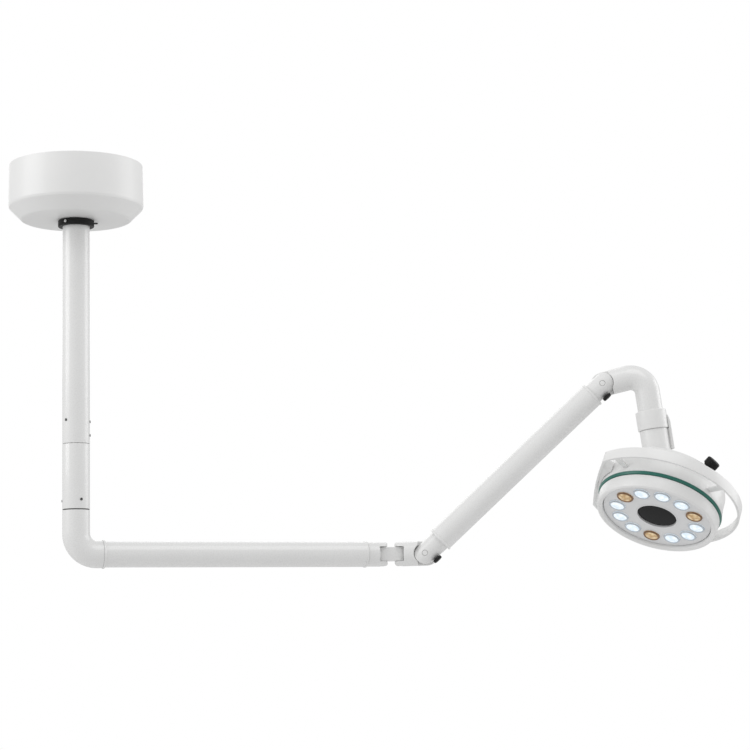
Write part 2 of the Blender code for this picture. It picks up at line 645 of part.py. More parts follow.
def build():
    root = pivot("mounting", None, (0.0, 0.0, 0.0))
    ceiling_mounting(root)
    column(root)
    arm = pivot("arm_axis", root, (0.0, 0.0, 0.0))
    horizontal_arm(arm)
    link_axis = pivot("link_axis", arm, (FORK_PIN_X, 0.0, ARM_Z), (0.0, 0.0, LINK_YAW))
    link(link_axis)
    knuckle_axis = pivot("knuckle_axis", link_axis, (LINK_SPAN, 0.0, 0.0),
                         (0.0, 0.0, KNUCKLE_YAW))
    knuckle(knuckle_axis)
    lift_axis = pivot("lift_axis", knuckle_axis, (KNUCKLE_LENGTH, 0.0, 0.0), (0.0, -LIFT, 0.0))
    balance_arm(lift_axis)
    low = pivot("lower_tension_axis", lift_axis, (7.0, -8.0, -16.6))
    tension_knob("tension_knob_lower", low)
    high = pivot("upper_tension_axis", lift_axis, (BALANCE_LENGTH - 9.2, -8.0, -16.6))
    tension_knob("tension_knob_upper", high)
    elbow_axis = pivot("elbow_axis", lift_axis, (BALANCE_LENGTH, 0.0, 0.0),
                       (0.0, LIFT - LEG_RISE, 0.0))
    neck = pivot("neck", elbow_axis, (LEG_LENGTH, 0.0, 0.0), (0.0, LEG_RISE - NECK_LEAN, 0.0))
    head_elbow(elbow_axis, neck)
    swivel_axis = pivot("swivel_axis", neck, (0.0, 0.0, -NECK_LENGTH), (0.0, 0.0, SWIVEL_YAW))
    swivel(swivel_axis)
    tilt_axis = pivot("tilt_axis", swivel_axis, (0.0, 0.0, 0.0), (0.0, HEAD_TILT, 0.0))
    offset = Matrix.Rotation(math.radians(HEAD_YAW), 3, "Z") @ Vector((-JOINT_X, 0.0, -JOINT_H))
    lamp = pivot("lamp", tilt_axis, offset, (0.0, 0.0, HEAD_YAW))
    bpy.context.view_layer.update()
    slot = tilt_slot(tilt_axis)
    hinge_boss(tilt_axis, slot)
    housing(lamp, slot)
    optics(lamp)
    handle(lamp)
    x, y = polar(DIMMER_AZ, 82.5 + 0.6)
    knob_axis = pivot("dimmer_axis", lamp, (x, y, 67.25 + 0.6), (0.0, 45.0, DIMMER_AZ - 90.0))
    dimmer(knob_axis)


build()
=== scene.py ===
"""Looks of the ceiling-mounted dental operating light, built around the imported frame.

Every visible piece is modelled again at full smoothness in the frame's own coordinates and
rides on the body that its plain counterpart belongs to. Millimetres and degrees throughout.
"""
import json
import math

import bmesh
import bpy
from mathutils import Matrix, Vector

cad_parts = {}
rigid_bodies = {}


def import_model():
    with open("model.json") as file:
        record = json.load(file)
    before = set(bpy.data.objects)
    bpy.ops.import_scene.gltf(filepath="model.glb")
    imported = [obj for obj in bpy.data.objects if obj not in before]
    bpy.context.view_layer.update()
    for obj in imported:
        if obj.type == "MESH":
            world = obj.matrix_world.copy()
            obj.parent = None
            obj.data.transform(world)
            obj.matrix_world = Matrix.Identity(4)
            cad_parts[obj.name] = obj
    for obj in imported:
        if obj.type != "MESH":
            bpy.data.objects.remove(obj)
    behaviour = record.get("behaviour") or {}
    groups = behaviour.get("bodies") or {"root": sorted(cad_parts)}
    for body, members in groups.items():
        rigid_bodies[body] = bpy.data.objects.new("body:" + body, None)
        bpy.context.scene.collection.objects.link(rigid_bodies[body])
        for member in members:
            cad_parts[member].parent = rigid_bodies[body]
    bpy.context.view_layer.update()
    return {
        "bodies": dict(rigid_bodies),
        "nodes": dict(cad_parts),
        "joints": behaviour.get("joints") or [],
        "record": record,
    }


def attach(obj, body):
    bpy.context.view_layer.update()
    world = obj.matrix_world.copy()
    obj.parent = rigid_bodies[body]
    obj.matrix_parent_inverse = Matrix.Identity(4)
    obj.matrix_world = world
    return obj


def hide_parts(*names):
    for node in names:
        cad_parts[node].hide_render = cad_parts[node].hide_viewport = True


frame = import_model()

MM = 0.001
GAP = 0.3

# Ceiling mounting
PLATE_R = 85.0
PLATE_T = 3.0
CANOPY_BOTTOM = 82.7
CLAMP_R = 26.5
CLAMP_H = 9.5

# Column and horizontal arm
COLUMN_R = 20.0
SEAM_1 = 414.4
SEAM_2 = 510.0
ARM_Z = -574.5
ARM_R = 19.0
ARM_BEND = 30.0
ARM_TUBE_START = 38.0
ARM_TUBE_END = 439.0
FORK_R = 18.5
FORK_PIN_X = 466.0
SLOT_H = 22.0
PIN_R = 4.0

# Link, knuckle and balance arm
LINK_YAW = -13.0
LINK_SPAN = 25.0
LINK_R = 8.5
LINK_H = 20.6
KNUCKLE_YAW = -12.5
KNUCKLE_LENGTH = 41.0
TONGUE_R = 16.2
LUG_R = 18.4
SCOOP_R = TONGUE_R + 0.6
LIFT = 42.1
BALANCE_LENGTH = 368.6
BALANCE_R = 19.0
KNOB_R = 7.0

# Head elbow, neck and swivel
LEG_RISE = 12.5
LEG_LENGTH = 64.5
ELBOW_R = 18.7
ELBOW_BEND = 25.0
NECK_LEAN = 7.0
COLLAR_R = 23.0
COLLAR_TOP = 57.5
COLLAR_BOTTOM = 86.0
SWIVEL_R = 21.0
NECK_LENGTH = 156.3
SWIVEL_YAW = 49.4
HEAD_TILT = 34.2
HEAD_YAW = -42.3
COVER_YAW = 42.0

# Lamp head, heights measured back from the plane of the lenses
JOINT_X = -10.1
JOINT_H = 69.0
LED_CIRCLE_R = 60.0
LED_COUNT = 12
AMBER_LENSES = (3, 7, 11)
LENS_R = 12.3
BAND_LOW = 13.9
BAND_HIGH = 19.5
BACK_H = 72.0
PLUG_R = 34.0
SLOT_ANGLES = (-50.5, 26.5)
HANDLE_R = 118.0
HANDLE_T = 3.5
HANDLE_LOW = 27.0
HANDLE_H = 16.6
CORNER_AZ = 55.5
TAB_AZ = (42.5, -42.5, 137.5, -137.5)
DIMMER_AZ = 39.5

# Bevel on the edges of flat-cut pieces
ROUNDING = {"handle_ring": 1.2, "link_block": 1.0, "hinge_cover": 0.9, "driver_box": 1.2,
            "ceiling_plate": 0.4}
# Corner radius of turned pieces; the others take PLAIN_CORNER
PLAIN_CORNER = 0.35
TURNED_CORNER = {"canopy_cover": 1.2, "rear_housing": 5.0, "front_bezel": 2.0,
                 "hinge_boss": 2.5, "neck_collar": 0.8, "canopy_clamp_ring": 0.6,
                 "dimmer_knob": 0.8, "tension_knob_lower": 0.7, "tension_knob_upper": 0.7,
                 "horizontal_tube": 0.7, "balance_tube": 0.7, "accent_ring": 0.2}
# Pieces softened as castings, with the grid that their surface is rebuilt on
CAST = {"arm_fork": 0.55, "knuckle_body": 0.5, "lower_hinge_end": 0.5, "upper_hinge_end": 0.5,
        "head_elbow": 0.7, "hinge_boss": 0.8}
CAST_PASSES = 5

# Arcs and turns are this many times finer than those of the plain solids
FINE = 4
SHARP_EDGE = 32.0
BEVEL_EDGE = 40.0
WELD = 0.000004
SLIVER = 0.000002
NEAR_BLACK = 0.05
MATT_BLACK_SPECULAR = 0.09
COAT_ROUGHNESS = 0.11
PRISM_SCALE = 150.0

# Softboxes as place, size and power; then the point they face (metres and watts)
SOFTBOXES = (((-2.8, -0.1, 0.9), 2.2, 37.0), ((3.6, -0.3, 0.3), 2.2, 25.0),
             ((0.6, -1.5, 1.7), 1.8, 15.0), ((0.4, 2.6, 1.2), 2.4, 12.0))
LAMP_AIM = (0.45, -0.1, -0.4)
SURROUND_STRENGTH = 0.64
FLOOR_PLACE = (0.4, 0.0, -2.1)
FLOOR_HALF = 5.0

# Camera, in metres and degrees; a pitch of 90 looks level
CAMERA_PLACE = (0.4368, -3.1832, -0.7685)
CAMERA_PITCH = 98.0
CAMERA_ROLL = -1.094
CAMERA_YAW = -18.0
CAMERA_LENS = 105.6

# Every piece made so far, before it is settled into the frame
PIECES = []


def new_collection(name):
    group = bpy.data.collections.new(name)
    bpy.context.scene.collection.children.link(group)
    return group


PARTS = new_collection("dental_operating_light")
CUTTERS = new_collection("cutters")


def shader_nodes(name):
    mat = bpy.data.materials.new(name)
    mat.use_nodes = True
    return mat, mat.node_tree.nodes, mat.node_tree.links, mat.node_tree.nodes["Principled BSDF"]


def noise(nodes, links, scale, detail=3.0):
    """Object-space noise, so that the grain stays on the surface when the piece moves."""
    coords = nodes.new("ShaderNodeTexCoord")
    texture = nodes.new("ShaderNodeTexNoise")
    texture.inputs["Scale"].default_value = scale
    texture.inputs["Detail"].default_value = detail
    links.new(coords.outputs["Object"], texture.inputs["Vector"])
    return texture.outputs["Fac"]


def graded(nodes, links, value, low, high, start=0.3, end=0.7):
    ramp = nodes.new("ShaderNodeMapRange")
    ramp.inputs["From Min"].default_value = start
    ramp.inputs["From Max"].default_value = end
    ramp.inputs["To Min"].default_value = low
    ramp.inputs["To Max"].default_value = high
    links.new(value, ramp.inputs["Value"])
    return ramp.outputs["Result"]


def tinted(nodes, links, value, dark, light):
    mix = nodes.new("ShaderNodeMix")
    mix.data_type = "RGBA"
    mix.inputs["A"].default_value = (*dark, 1.0)
    mix.inputs["B"].default_value = (*light, 1.0)
    links.new(value, mix.inputs["Factor"])
    return mix.outputs["Result"]


def bumped(nodes, links, shader, value, strength, distance):
    bump = nodes.new("ShaderNodeBump")
    bump.inputs["Strength"].default_value = strength
    bump.inputs["Distance"].default_value = distance
    links.new(value, bump.inputs["Height"])
    links.new(bump.outputs["Normal"], shader.inputs["Normal"])


def coated_surface(name, dark, light, rough, coat=0.0, metallic=0.0, grain=900.0, bump=0.06):
    """Paint or moulded plastic: faint mottling, uneven gloss and a fine orange peel."""
    mat, nodes, links, shader = shader_nodes(name)
    broad = noise(nodes, links, 14.0)
    links.new(tinted(nodes, links, broad, dark, light), shader.inputs["Base Color"])
    fine = noise(nodes, links, grain, 2.0)
    links.new(graded(nodes, links, fine, rough[0], rough[1]), shader.inputs["Roughness"])
    bumped(nodes, links, shader, fine, bump, 0.0002)
    shader.inputs["Metallic"].default_value = metallic
    shader.inputs["Coat Weight"].default_value = coat
    shader.inputs["Coat Roughness"].default_value = COAT_ROUGHNESS
    if max(light) < NEAR_BLACK:
        shader.inputs["Specular IOR Level"].default_value = MATT_BLACK_SPECULAR
    return mat


def lens_with_painted_glow(name, edge, core, strength):
    """A moulded lens with small prisms: its clear or amber tint is its own, while its glow and the
    brighter middle of each prism are painted highlight and reflection.
    """
    mat, nodes, links, shader = shader_nodes(name)
    coords = nodes.new("ShaderNodeTexCoord")
    cells = nodes.new("ShaderNodeTexVoronoi")
    cells.inputs["Scale"].default_value = PRISM_SCALE
    links.new(coords.outputs["Object"], cells.inputs["Vector"])
    # Painted highlight: each prism is brighter towards its middle.
    shade = graded(nodes, links, cells.outputs["Distance"], 1.0, 0.0, 0.05, 0.75)
    colour = tinted(nodes, links, shade, edge, core)
    links.new(colour, shader.inputs["Base Color"])
    # The emission is a painted glow that stands in for reflections in the lens, not a lit lamp.
    links.new(colour, shader.inputs["Emission Color"])
    shader.inputs["Emission Strength"].default_value = strength
    shader.inputs["Roughness"].default_value = 0.12
    shader.inputs["Coat Weight"].default_value = 0.6
    bumped(nodes, links, shader, cells.outputs["Distance"], 0.12, 0.0004)
    return mat


def make_finishes():
    return {
        "white_paint": coated_surface("white_paint", (0.79, 0.79, 0.785), (0.83, 0.83, 0.825),
                                      (0.24, 0.32), coat=0.5, grain=600.0, bump=0.004),
        "canopy_paint": coated_surface("canopy_paint", (0.79, 0.79, 0.785),
                                       (0.83, 0.83, 0.825), (0.38, 0.46), coat=0.12,
                                       grain=600.0, bump=0.004),
        "white_plastic": coated_surface("white_plastic", (0.80, 0.80, 0.795),
                                        (0.835, 0.835, 0.83), (0.26, 0.36), coat=0.15,
                                        grain=1500.0, bump=0.015),
        "pearl_plate": coated_surface("pearl_plate", (0.72, 0.725, 0.73), (0.79, 0.79, 0.795),
                                      (0.3, 0.42), metallic=0.15, grain=1800.0, bump=0.08),
        "black_plastic": coated_surface("black_plastic", (0.012, 0.012, 0.012),
                                        (0.03, 0.03, 0.03), (0.32, 0.5), grain=1300.0, bump=0.2),
        "black_gloss": coated_surface("black_gloss", (0.004, 0.004, 0.004),
                                      (0.012, 0.012, 0.013), (0.1, 0.2), coat=0.0, bump=0.02),
        "teal": coated_surface("teal", (0.012, 0.13, 0.1), (0.025, 0.17, 0.13), (0.3, 0.42),
                               grain=1500.0),
        "steel": coated_surface("steel", (0.45, 0.45, 0.45), (0.6, 0.6, 0.6), (0.22, 0.4),
                                metallic=1.0, grain=700.0),
        "dark_steel": coated_surface("dark_steel", (0.05, 0.05, 0.05), (0.1, 0.1, 0.1),
                                     (0.3, 0.45), metallic=0.9),
        "aluminium": coated_surface("aluminium", (0.6, 0.61, 0.62), (0.7, 0.71, 0.72),
                                    (0.3, 0.45), metallic=1.0, grain=500.0),
        "board": coated_surface("board", (0.7, 0.7, 0.68), (0.8, 0.8, 0.78), (0.4, 0.6)),
        # The lenses glow with painted highlight and reflection.
        "clear_lens": lens_with_painted_glow("clear_lens", (0.66, 0.77, 0.87), (0.95, 0.98, 1.0), 0.42),
        "amber_lens": lens_with_painted_glow("amber_lens", (0.5, 0.3, 0.11), (0.95, 0.76, 0.46), 0.14),
        "brown_rim": coated_surface("brown_rim", (0.16, 0.075, 0.025), (0.26, 0.13, 0.05),
                                    (0.25, 0.4), coat=0.3),
        "pale_rim": coated_surface("pale_rim", (0.5, 0.55, 0.6), (0.62, 0.67, 0.72),
                                   (0.12, 0.25), coat=0.4),
    }


MATERIALS = make_finishes()


def pivot(name, parent, loc, rot=(0.0, 0.0, 0.0)):
    """An empty on a joint's axis; rot is in degrees about x, y, z."""
    empty = bpy.data.objects.new(name, None)
    PARTS.objects.link(empty)
    empty.parent = parent
    empty.location = Vector(loc) * MM
    empty.rotation_euler = [math.radians(a) for a in rot]
    return empty


def put(name, mesh, parent, group, loc, rot):
    obj = bpy.data.objects.new(name, mesh)
    group.objects.link(obj)
    obj.parent = parent
    obj.location = Vector(loc) * MM
    obj.rotation_euler = [math.radians(a) for a in rot]
    return obj


def piece(name, mesh, parent, finish, loc=(0.0, 0.0, 0.0), rot=(0.0, 0.0, 0.0), node=None,
          slot=None):
    obj = put(name + "_fine", mesh, parent, PARTS, loc, rot)
    obj["finish"] = finish
    obj["node"] = node or name
    obj["slot_name"] = slot or finish
    if name in ROUNDING:
        rounding = obj.modifiers.new("Rounding", "BEVEL")
        rounding.width = ROUNDING[name] * MM
        rounding.segments = 4
        rounding.limit_method = "ANGLE"
        rounding.angle_limit = math.radians(BEVEL_EDGE)
    PIECES.append(obj)
    return obj


def extra(name, mesh, parent, finish, node, slot, loc=(0.0, 0.0, 0.0), rot=(0.0, 0.0, 0.0)):
    """A detail that rides with a node but has no plain counterpart of its own."""
    obj = piece(name, mesh, parent, finish, loc, rot, node)
    obj["slot_name"] = slot
    obj["detail"] = True
    return obj


def settle_pieces():
    """Bake each piece into the frame's coordinates, round its edges and let it ride."""
    bodies = frame["record"]["behaviour"]["bodies"]
    body_of = {node: body for body, nodes in bodies.items() for node in nodes}
    bpy.context.view_layer.update()
    graph = bpy.context.evaluated_depsgraph_get()
    baked = []
    for obj in PIECES:
        mesh = bpy.data.meshes.new_from_object(obj.evaluated_get(graph))
        mesh.transform(obj.matrix_world)
        baked.append((obj, mesh))
    for obj, mesh in baked:
        name = obj.name
        node, finish, slot_name = obj["node"], obj["finish"], obj["slot_name"]
        detail = bool(obj.get("detail"))
        bpy.data.objects.remove(obj, do_unlink=True)
        bm = bmesh.new()
        bm.from_mesh(mesh)
        bmesh.ops.remove_doubles(bm, verts=bm.verts, dist=WELD)
        bmesh.ops.dissolve_degenerate(bm, dist=SLIVER, edges=bm.edges)
        bm.to_mesh(mesh)
        bm.free()
        mesh.materials.clear()
        mesh.materials.append(MATERIALS[finish])
        mesh.shade_smooth()
        mesh.set_sharp_from_angle(angle=math.radians(SHARP_EDGE))
        new = bpy.data.objects.new(name, mesh)
        bpy.context.scene.collection.objects.link(new)
        if node in CAST and not detail:
            mesh.shade_smooth()
            grid = new.modifiers.new("Grid", "REMESH")
            grid.mode = "VOXEL"
            grid.voxel_size = CAST[node] * MM
            grid.use_smooth_shade = True
            relax = new.modifiers.new("Relax", "SMOOTH")
            relax.factor = 0.5
            relax.iterations = CAST_PASSES
        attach(new, body_of[node])
        if not detail:
            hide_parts(node)
    for group in (CUTTERS, PARTS):
        for obj in list(group.objects):
            bpy.data.objects.remove(obj, do_unlink=True)


def tool(name, mesh, parent, loc=(0.0, 0.0, 0.0), rot=(0.0, 0.0, 0.0)):
    """A shape used to cut or extend a piece."""
    obj = put(name, mesh, parent, CUTTERS, loc, rot)
    obj.hide_render = True
    obj.display_type = "WIRE"
    return obj


def combine(obj, other, operation):
    mod = obj.modifiers.new(operation.title(), "BOOLEAN")
    mod.operation = operation
    mod.solver = "EXACT"
    mod.object = other


def taken(source):
    """The evaluated mesh of a working object, welded, with the object removed."""
    bpy.context.view_layer.update()
    graph = bpy.context.evaluated_depsgraph_get()
    mesh = bpy.data.meshes.new_from_object(source.evaluated_get(graph))
    bpy.data.objects.remove(source, do_unlink=True)
    bm = bmesh.new()
    bm.from_mesh(mesh)
    bmesh.ops.remove_doubles(bm, verts=bm.verts, dist=0.00001)
    bmesh.ops.recalc_face_normals(bm, faces=bm.faces)
    bm.to_mesh(mesh)
    bm.free()
    return mesh


def filleted(points, radius):
    """Round the corners of a closed profile, leaving those on the axis."""
    out = []
    count = len(points)
    for i, here in enumerate(points):
        before, after = points[i - 1], points[(i + 1) % count]
        if here[0] == 0.0:
            out.append(here)
            continue
        a = Vector((before[0] - here[0], before[1] - here[1]))
        b = Vector((after[0] - here[0], after[1] - here[1]))
        bend = math.pi - a.angle(b)
        if bend < math.radians(4):
            out.append(here)
            continue
        reach = min(radius * math.tan(bend / 2), 0.42 * a.length, 0.42 * b.length)
        first = Vector(here) + a.normalized() * reach
        last = Vector(here) + b.normalized() * reach
        parts = 5 if bend > math.radians(20) else 3
        for k in range(parts + 1):
            t = k / parts
            point = first * (1 - t) ** 2 + Vector(here) * 2 * t * (1 - t) + last * t ** 2
            out.append((point.x, point.y))
    return out


def turned(profile, steps=20, corner=PLAIN_CORNER):
    """A profile of (radius, height) turned about z; it closes on itself or on the axis."""
    area = 0.0
    for (r0, z0), (r1, z1) in zip(profile, profile[1:] + profile[:1]):
        area += r0 * z1 - r1 * z0
    points = list(profile) if area < 0 else list(reversed(profile))
    points = filleted(points, corner)
    on_axis = [p for p in points if p[0] == 0.0]
    if on_axis:
        while not (points[0][0] == 0.0 and points[-1][0] == 0.0):
            points = points[1:] + points[:1]
    edges = [(i, i + 1) for i in range(len(points) - 1)]
    if not on_axis:
        edges.append((len(points) - 1, 0))
    mesh = bpy.data.meshes.new("profile")
    mesh.from_pydata([(r * MM, 0.0, z * MM) for r, z in points], edges, [])
    obj = bpy.data.objects.new("profile", mesh)
    PARTS.objects.link(obj)
    mod = obj.modifiers.new("Turn", "SCREW")
    mod.steps = steps * FINE
    mod.render_steps = steps * FINE
    mod.use_merge_vertices = True
    mod.merge_threshold = 0.00001
    return taken(obj)


def rod(radius, low, high, steps=12):
    return turned([(0.0, high), (radius, high), (radius, low), (0.0, low)], steps)


def outline(loops, thickness):
    """Flat loops in xy, the first one the outside, extruded evenly about z = 0."""
    curve = bpy.data.curves.new("outline", "CURVE")
    curve.dimensions = "2D"
    curve.fill_mode = "BOTH"
    curve.extrude = thickness * MM / 2
    for loop in loops:
        spline = curve.splines.new("POLY")
        spline.points.add(len(loop) - 1)
        for point, (x, y) in zip(spline.points, loop):
            point.co = (x * MM, y * MM, 0.0, 1.0)
        spline.use_cyclic_u = True
    obj = bpy.data.objects.new("outline", curve)
    PARTS.objects.link(obj)
    return taken(obj)


def swept(path, radius, resolution=10, cyclic=False):
    """A round bar along a path of points."""
    curve = bpy.data.curves.new("path", "CURVE")
    curve.dimensions = "3D"
    curve.bevel_depth = radius * MM
    curve.bevel_resolution = resolution * 3 + 2
    curve.use_fill_caps = not cyclic
    spline = curve.splines.new("POLY")
    spline.points.add(len(path) - 1)
    for point, place in zip(spline.points, path):
        point.co = (*(Vector(place) * MM), 1.0)
    spline.use_cyclic_u = cyclic
    obj = bpy.data.objects.new("path", curve)
    PARTS.objects.link(obj)
    return taken(obj)


def box(size, centre=(0.0, 0.0, 0.0)):
    mesh = bpy.data.meshes.new("box")
    bm = bmesh.new()
    bmesh.ops.create_cube(bm, size=1.0)
    bmesh.ops.scale(bm, vec=Vector(size) * MM, verts=bm.verts)
    bmesh.ops.translate(bm, vec=Vector(centre) * MM, verts=bm.verts)
    bm.to_mesh(mesh)
    bm.free()
    return mesh


def arc(cx, cy, radius, start, end, count):
    points = []
    count *= FINE
    for i in range(count + 1):
        a = math.radians(start + (end - start) * i / count)
        points.append((cx + radius * math.cos(a), cy + radius * math.sin(a)))
    return points


def circle(cx, cy, radius, count=12):
    return arc(cx, cy, radius, 0.0, 360.0, count)[:-1]


def bent_path(start, corner, end, radius, count=7):
    """Two straight legs in the xz plane joined by a bend of the given radius."""
    a = (Vector(start) - Vector(corner)).normalized()
    b = (Vector(end) - Vector(corner)).normalized()
    half = a.angle(b) / 2
    reach = radius / math.tan(half)
    centre = Vector(corner) + (a + b).normalized() * radius / math.sin(half)
    first = Vector(corner) + a * reach - centre
    last = Vector(corner) + b * reach - centre
    turn = first.angle(last)
    count *= FINE
    points = [Vector(start)]
    for i in range(count + 1):
        f = i / count
        step = (first * math.sin((1 - f) * turn) + last * math.sin(f * turn)) / math.sin(turn)
        points.append(centre + step)
    points.append(Vector(end))
    return [tuple(p) for p in points]


def polar(azimuth, radius):
    """Lamp-frame x and y of a point; azimuth 0 is the near side, positive to the right."""
    a = math.radians(azimuth)
    return radius * math.sin(a), -radius * math.cos(a)


# Ceiling mounting ---------------------------------------------------------------------------


def ceiling_mounting(root):
    loops = [circle(0.0, 0.0, PLATE_R, 36), circle(-48.0, -30.0, 9.0)]
    loops += [circle(*polar(a, 72.0), 3.2, 10) for a in (0.0, 90.0, 180.0, 270.0)]
    piece("ceiling_plate", outline(loops, PLATE_T), root, "steel", (0.0, 0.0, -PLATE_T / 2))

    top = -PLATE_T - GAP
    socket = piece("ceiling_socket", turned([(8.0, top), (45.0, top), (45.0, -8.0), (25.0, -8.0),
                   (25.0, -60.0), (COLUMN_R + GAP, -60.0), (COLUMN_R + GAP, -11.0),
                   (8.0, -11.0)]), root, "steel")
    window = tool("socket_window", box((20.0, 10.0, 12.0), (-23.0, 0.0, -22.0)), root)
    combine(socket, window, "DIFFERENCE")

    piece("driver_box", box((70.0, 36.0, 24.0), (0.0, 66.0, top - 12.0)), root,
          "aluminium")

    low = -CANOPY_BOTTOM
    piece("canopy_cover", turned([
        (98.0, -0.5), (98.6, -30.0), (99.0, -61.0), (98.0, -64.4), (81.0, -81.6), (78.5, low),
        (COLUMN_R + 0.6, low), (COLUMN_R + 0.6, low + 3.0), (77.5, low + 3.0), (95.6, -62.0),
        (95.2, -0.5)], 32,
        corner=TURNED_CORNER["canopy_cover"]), root, "canopy_paint", slot="white_paint")

    top = low - GAP
    piece("canopy_clamp_ring", turned([
        (CLAMP_R - 0.8, top), (CLAMP_R, top - 0.8), (CLAMP_R, top - CLAMP_H + 0.8),
        (CLAMP_R - 0.8, top - CLAMP_H), (COLUMN_R + GAP, top - CLAMP_H), (COLUMN_R + GAP, top)],
        24, corner=TURNED_CORNER["canopy_clamp_ring"]), root, "black_plastic")
    radial_screw("clamp_ring_screw", root, CLAMP_R, -27.0, top - CLAMP_H / 2, 2.2, 1.6, "steel")
    radial_screw("clamp_ring_set_screw", root, CLAMP_R, 88.0, top - CLAMP_H / 2, 1.3, 5.5,
                 "dark_steel")


def radial_screw(name, parent, radius, azimuth, height, head_r, head_h, finish):
    """A screw whose axis is radial; azimuth 0 faces the viewing side of the column."""
    turn = azimuth - 108.0
    a = math.radians(turn)
    loc = ((radius + GAP) * math.cos(a), (radius + GAP) * math.sin(a), height)
    mesh = turned([(0.0, 0.0), (head_r, 0.0), (head_r, head_h * 0.7), (head_r * 0.7, head_h),
                   (0.0, head_h)], 8)
    piece(name, mesh, parent, finish, loc, (0.0, 90.0, turn))


# Column and horizontal arm ------------------------------------------------------------------


def column(root):
    r = COLUMN_R
    piece("column_tube", turned([(r, -12.0), (r, -SEAM_1 + 0.5), (r - 2.0, -SEAM_1 + 0.5),
          (r - 2.0, -12.0)]), root, "white_paint")
    piece("column_joint_sleeve", turned([
        (17.7, -370.0), (17.7, -SEAM_1 - 0.4), (r, -SEAM_1 - 0.4), (r, -SEAM_2 + 0.7),
        (12.3, -SEAM_2 + 0.7), (12.3, -440.0), (15.0, -440.0), (15.0, -370.0)]), root,
        "white_paint")
    screws = ((-38.0, -380.0), (90.0, -382.0), (90.0, -402.0), (30.0, -496.0), (-90.0, -497.0))
    for i, (azimuth, height) in enumerate(screws):
        radial_screw(f"column_screw_{i + 1}", root, r, azimuth, height, 2.0, 0.7, "dark_steel")


def horizontal_arm(arm):
    top = -SEAM_2 - 0.9
    piece("swivel_washer", turned([(19.5, -SEAM_2 + 0.4), (19.5, -SEAM_2 - 0.6),
          (12.3, -SEAM_2 - 0.6), (12.3, -SEAM_2 + 0.4)], 28), arm, "dark_steel")
    path = bent_path((0.0, 0.0, top), (0.0, 0.0, ARM_Z), (ARM_TUBE_START - GAP, 0.0, ARM_Z),
                     ARM_BEND)
    elbow = piece("arm_elbow", swept(path, COLUMN_R, 8), arm, "white_paint")
    path = bent_path((0.0, 0.0, top + 10.0), (0.0, 0.0, ARM_Z), (60.0, 0.0, ARM_Z), ARM_BEND)
    combine(elbow, tool("elbow_bore", swept(path, 17.2, 5), arm), "DIFFERENCE")
    piece("swivel_shaft", turned([
        (14.5, -433.8), (14.5, -439.6), (12.0, -439.6), (12.0, -512.0), (16.2, -512.0),
        (16.2, -530.0), (8.0, -530.0), (8.0, -433.8)], 24), arm, "steel")

    start, end = ARM_TUBE_START, ARM_TUBE_END
    piece("horizontal_tube", turned([
        (16.2, start - 6.0), (16.2, start), (20.4, start), (21.0, start + 0.6),
        (21.0, start + 2.6), (20.4, start + 3.2), (ARM_R, start + 3.2), (ARM_R, end - 3.0),
        (19.9, end - 2.8), (19.9, end - 0.4), (19.5, end), (15.5, end), (15.5, start - 6.0)],
        corner=TURNED_CORNER["horizontal_tube"]),
        arm, "white_paint", (0.0, 0.0, ARM_Z), (0.0, 90.0, 0.0))

    fork = piece("arm_fork", turned([
        (0.0, 425.0), (15.2, 425.0), (15.2, end + GAP), (FORK_R - 0.8, end + GAP),
        (FORK_R, end + GAP + 0.8), (FORK_R, 476.0), (0.0, 476.0)]), arm, "white_paint",
        (0.0, 0.0, ARM_Z), (0.0, 90.0, 0.0))
    end_x = FORK_PIN_X - 12.0
    plan = [(400.0, 18.7), (400.0, -18.7)] + arc(end_x, 0.0, 18.7, -90.0, 90.0, 12)
    combine(fork, tool("fork_plan", outline([plan], 60.0), arm, (0.0, 0.0, ARM_Z)), "INTERSECT")
    side = [(400.0, 18.7), (400.0, -18.7)] + arc(end_x + 11.8, -11.7, 7.0, -90.0, 0.0, 4)
    side += arc(end_x + 11.8, 11.7, 7.0, 0.0, 90.0, 4)
    combine(fork, tool("fork_side", outline([side], 60.0), arm, (0.0, 0.0, ARM_Z),
            (90.0, 0.0, 0.0)), "INTERSECT")
    slot = box((40.0, 60.0, SLOT_H), (FORK_PIN_X + 11.0, 0.0, ARM_Z))
    combine(fork, tool("fork_slot", slot, arm), "DIFFERENCE")
    hole = tool("fork_hole", rod(PIN_R + GAP, -40.0, 40.0), arm, (FORK_PIN_X, 0.0, ARM_Z))
    combine(fork, hole, "DIFFERENCE")


def link(frame):
    loop = arc(0.0, 0.0, LINK_R, 90.0, 270.0, 8) + arc(LINK_SPAN, 0.0, LINK_R, -90.0, 90.0, 8)
    bore = PIN_R + GAP
    loops = [loop, circle(0.0, 0.0, bore), circle(LINK_SPAN, 0.0, bore)]
    piece("link_block", outline(loops, LINK_H), frame, "white_paint")
    piece("fork_pin", pin(16.8), frame, "white_paint", slot="steel")


def pin(half):
    return turned([(0.0, half), (PIN_R - 0.6, half), (PIN_R, half - 0.6), (PIN_R, 0.6 - half),
                   (PIN_R - 0.6, -half), (0.0, -half)], 10)


# Knuckle, balance arm and head elbow --------------------------------------------------------


